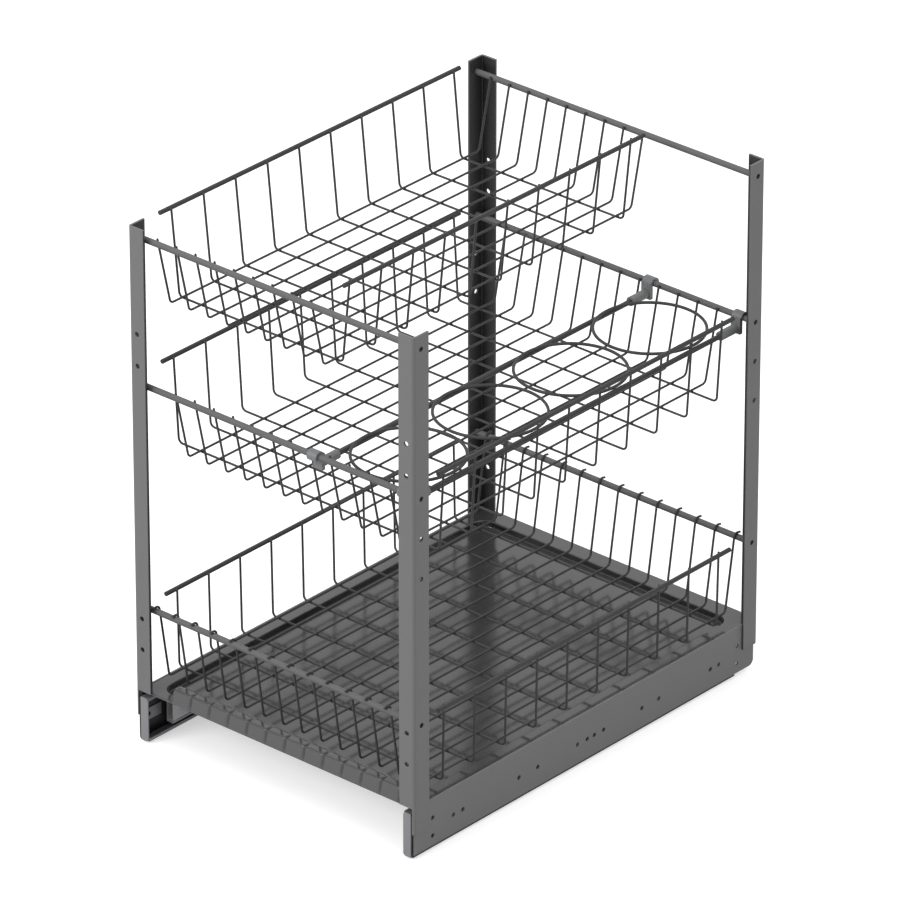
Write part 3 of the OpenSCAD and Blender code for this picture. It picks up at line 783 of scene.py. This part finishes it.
@dataclass
class WireBasket:
    """One welded basket: finds its wires from the CAD nodes and adds the weld beads."""

    name: str
    body: Body
    long_count: int
    cross_count: int
    cross_rods: tuple[str, ...] = ()
    wire_r: float = 1.1 * MM
    on_wire: tuple[float, float, float] = (1.15, 1.15, 0.75)
    on_side_rod: tuple[float, float, float] = (0.7, 1.3, 1.3)
    on_cross_rod: tuple[float, float, float] = (1.3, 0.7, 1.3)

    def nodes(self) -> list[str]:
        """Returns the basket's three CAD nodes."""
        return [f"{self.name}_long_wires", f"{self.name}_cross_wires", f"{self.name}_side_rods"]

    def build(self) -> bpy.types.Object:
        """Builds the beads where wires cross and where they meet their rods.

        Returns:
            The beads as one piece.
        """
        long_low, long_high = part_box(f"{self.name}_long_wires")
        cross_low, cross_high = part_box(f"{self.name}_cross_wires")
        rod_low, rod_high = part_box(f"{self.name}_side_rods")
        r = self.wire_r
        xs = spread(self.long_count, long_low.x + r, long_high.x - r)
        ys = spread(self.cross_count, cross_low.y + r, cross_high.y - r)
        seam = (long_low.z + cross_low.z + 2 * r) / 2
        bm = bmesh.new()
        for x in xs:
            for y in ys:
                add_bead(bm, Vector((x, y, seam)), Vector(self.on_wire) * MM)
        rod_r = (rod_high.z - rod_low.z) / 2
        for y in ys:
            for x in (rod_low.x + 2 * rod_r, rod_high.x - 2 * rod_r):
                add_bead(bm, Vector((x, y, rod_low.z + rod_r)), Vector(self.on_side_rod) * MM)
        for rod in self.cross_rods:
            low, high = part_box(rod)
            middle = (low + high) / 2
            y = middle.y - math.copysign((high.z - low.z) / 2, middle.y)
            for x in xs:
                add_bead(bm, Vector((x, y, middle.z)), Vector(self.on_cross_rod) * MM)
        piece = settle(f"{self.name}_welds", bm)
        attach(piece, self.body.value)
        return piece

    def finish(self, beads: bpy.types.Object, material: bpy.types.Material) -> None:
        """Dresses wires and beads.

        Args:
            beads: The weld beads.
            material: The coat.
        """
        dress(self.nodes(), material)
        beads.data.materials.append(material)


# ---------- studio ----------


@dataclass(frozen=True)
class Lamp:
    """One soft box."""

    name: str
    place: tuple[float, float, float]
    size: float
    power: float

    def build(self, aim: Vector) -> None:
        """Adds the lamp.

        Args:
            aim: The point that it faces.
        """
        light = bpy.data.lights.new(self.name, "AREA")
        light.shape = "SQUARE"
        light.size = self.size
        light.energy = self.power
        made = bpy.data.objects.new(self.name, light)
        made.location = self.place
        made.rotation_euler = (aim - Vector(self.place)).to_track_quat("-Z", "Y").to_euler()
        bpy.context.scene.collection.objects.link(made)


@dataclass
class Studio:
    """Pale floor, soft boxes and the camera at the photograph's angle."""

    aim: Vector = field(default_factory=lambda: Vector((0.0, 0.0, 0.26)))
    camera_at: tuple[float, float, float] = (4.9049, -5.5785, 4.1329)
    camera_turn: tuple[float, float, float] = (math.pi / 2 - 0.4802, 0.0, 0.7211)
    focal_px: float = 9200.0
    frame_px: float = 900.0
    sensor: float = 36.0
    far: float = 100.0
    floor_half: float = 24.0
    horizon: float = 0.06
    zenith: float = 1.6
    lamps: tuple[Lamp, ...] = (
        Lamp("key_box", (-1.2, -3.4, 2.2), 1.8, 95.0),
        Lamp("side_box", (3.4, -0.6, 2.0), 1.8, 22.0),
    )

    def build(self) -> None:
        """Builds the whole studio."""
        self._world()
        for lamp in self.lamps:
            lamp.build(self.aim)
        self._floor()
        self._camera()

    def _world(self) -> None:
        """Lights the object from a sky that is brightest overhead, and shows white behind it."""
        world = bpy.data.worlds.new("studio")
        bpy.context.scene.world = world
        shop = NodeShop(world, "ShaderNodeOutputWorld")
        way = shop.node("ShaderNodeTexCoord").outputs["Generated"]
        upward = shop.node("ShaderNodeSeparateXYZ", {}, {0: way}).outputs[2]
        rise = shop.node("ShaderNodeMapRange", {}, {"Value": upward, "To Min": self.horizon, "To Max": self.zenith})
        white = (1.0, 1.0, 1.0, 1.0)
        light = shop.node("ShaderNodeBackground", {}, {"Color": white, "Strength": rise.outputs[0]})
        backdrop = shop.node("ShaderNodeBackground", {}, {"Color": white, "Strength": 1.0})
        shop.end(shop.node("ShaderNodeMixShader", {}, {0: shop.seen(), 1: light.outputs[0], 2: backdrop.outputs[0]}))

    def _floor(self) -> None:
        """Adds the floor."""
        bm = bmesh.new()
        bmesh.ops.create_grid(bm, x_segments=4, y_segments=4, size=self.floor_half)
        piece = settle("studio_floor", bm)
        if piece.data.polygons[0].normal.z < 0:
            piece.data.flip_normals()
        piece.data.materials.append(StudioFloor().build())

    def _camera(self) -> None:
        """Adds the camera."""
        lens = bpy.data.cameras.new("camera")
        lens.sensor_width = self.sensor
        lens.sensor_fit = "HORIZONTAL"
        lens.lens = self.focal_px / self.frame_px * self.sensor
        lens.clip_end = self.far
        made = bpy.data.objects.new("camera", lens)
        made.location = self.camera_at
        made.rotation_euler = self.camera_turn
        bpy.context.scene.collection.objects.link(made)
        bpy.context.scene.camera = made
        bpy.context.scene.view_settings.view_transform = "Standard"


# ---------- the whole ----------


@dataclass
class Finishes:
    """Every material of the unit."""

    sheet: PowderCoat = PowderCoat("powder_coat_sheet", (0.14, 0.14, 0.142))
    # The posts get painted shade on their inner faces.
    post: PowderCoat = PowderCoat("powder_coat_post", (0.133, 0.133, 0.135), inside_shade_box=Vector((0.16905, 0.23905, 0.5245)))
    rod: PowderCoat = PowderCoat("powder_coat_rod", (0.115, 0.115, 0.117), roughness=0.5, gloss=0.12)
    wire: PowderCoat = PowderCoat("powder_coat_wire", (0.05, 0.05, 0.051), roughness=0.42, gloss=0.12)
    zinc: ZincSheet = ZincSheet("zinc_sheet", (0.68, 0.68, 0.7), metallic=0.2)
    # The drawer rails get painted shade on one web face.
    rail: ZincSheet = ZincSheet("zinc_drawer_rail", (0.2, 0.2, 0.212), shaded_web=(0.16495, 0.1668))
    cage: ZincSheet = ZincSheet("zinc_cage", (0.6, 0.61, 0.63), roughness=0.4)
    rivet: ZincSheet = ZincSheet("zinc_rivet", (0.58, 0.59, 0.61), roughness=0.3)
    # Near-black rivets: painted shade, so the holes they sit in look dark.
    shaded_rivet: ZincSheet = ZincSheet("rivet_painted_shade", (0.04, 0.04, 0.042), roughness=0.5)
    ball: PolishedSteel = PolishedSteel("polished_ball", (0.8, 0.8, 0.82))
    tray: MouldedPlastic = MouldedPlastic("tray_plastic", (0.04, 0.04, 0.041), roughness=0.15, gloss=0.7)
    clip: MouldedPlastic = MouldedPlastic("clip_plastic", (0.14, 0.142, 0.146), roughness=0.45)


def named(*parts: str) -> list[str]:
    """Returns the CAD nodes whose name holds one of the words."""
    return sorted(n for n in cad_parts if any(p in n for p in parts))


def main() -> None:
    logging.basicConfig(level=logging.INFO, format="%(name)s: %(message)s")
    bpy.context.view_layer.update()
    finishes = Finishes()
    sheet, rod, wire = finishes.sheet.build(), finishes.rod.build(), finishes.wire.build()
    dress(named("side_plate_"), sheet)
    dress(named("post_"), finishes.post.build())
    dress(named("_rod_front", "_rod_rear"), rod)
    dress(named("floor_bracket_", "fixed_rail_", "middle_rail_"), finishes.zinc.build())
    dress(named("drawer_rail_"), finishes.rail.build())
    dress(named("ball_cage"), finishes.cage.build())
    dress(named("bracket_rivets"), finishes.rivet.build())
    dress(named("rail_rivets"), finishes.shaded_rivet.build())
    dress(named("_balls_"), finishes.ball.build())
    dress(named("rack_rods", "bottle_ring"), wire)
    dress(named("rack_clip"), finishes.clip.build())
    baskets = (
        WireBasket("top_basket", Body.CARRIAGE, 9, 10, ("top_rod_front", "top_rod_rear")),
        WireBasket("middle_basket", Body.CARRIAGE, 12, 10, ("middle_rod_front", "middle_rod_rear")),
        WireBasket("low_basket", Body.LOW_BASKET, 14, 10),
    )
    for basket in baskets:
        basket.finish(basket.build(), wire)
    tray = DripTray()
    # The tray's plastic gets painted shade on the pan's walls and in the lip's grooves.
    tray.finish(tray.build(), replace(finishes.tray, walls=tray.walls(), seams=tray.seams()).build())
    Studio().build()


if __name__ == "__main__":
    main()
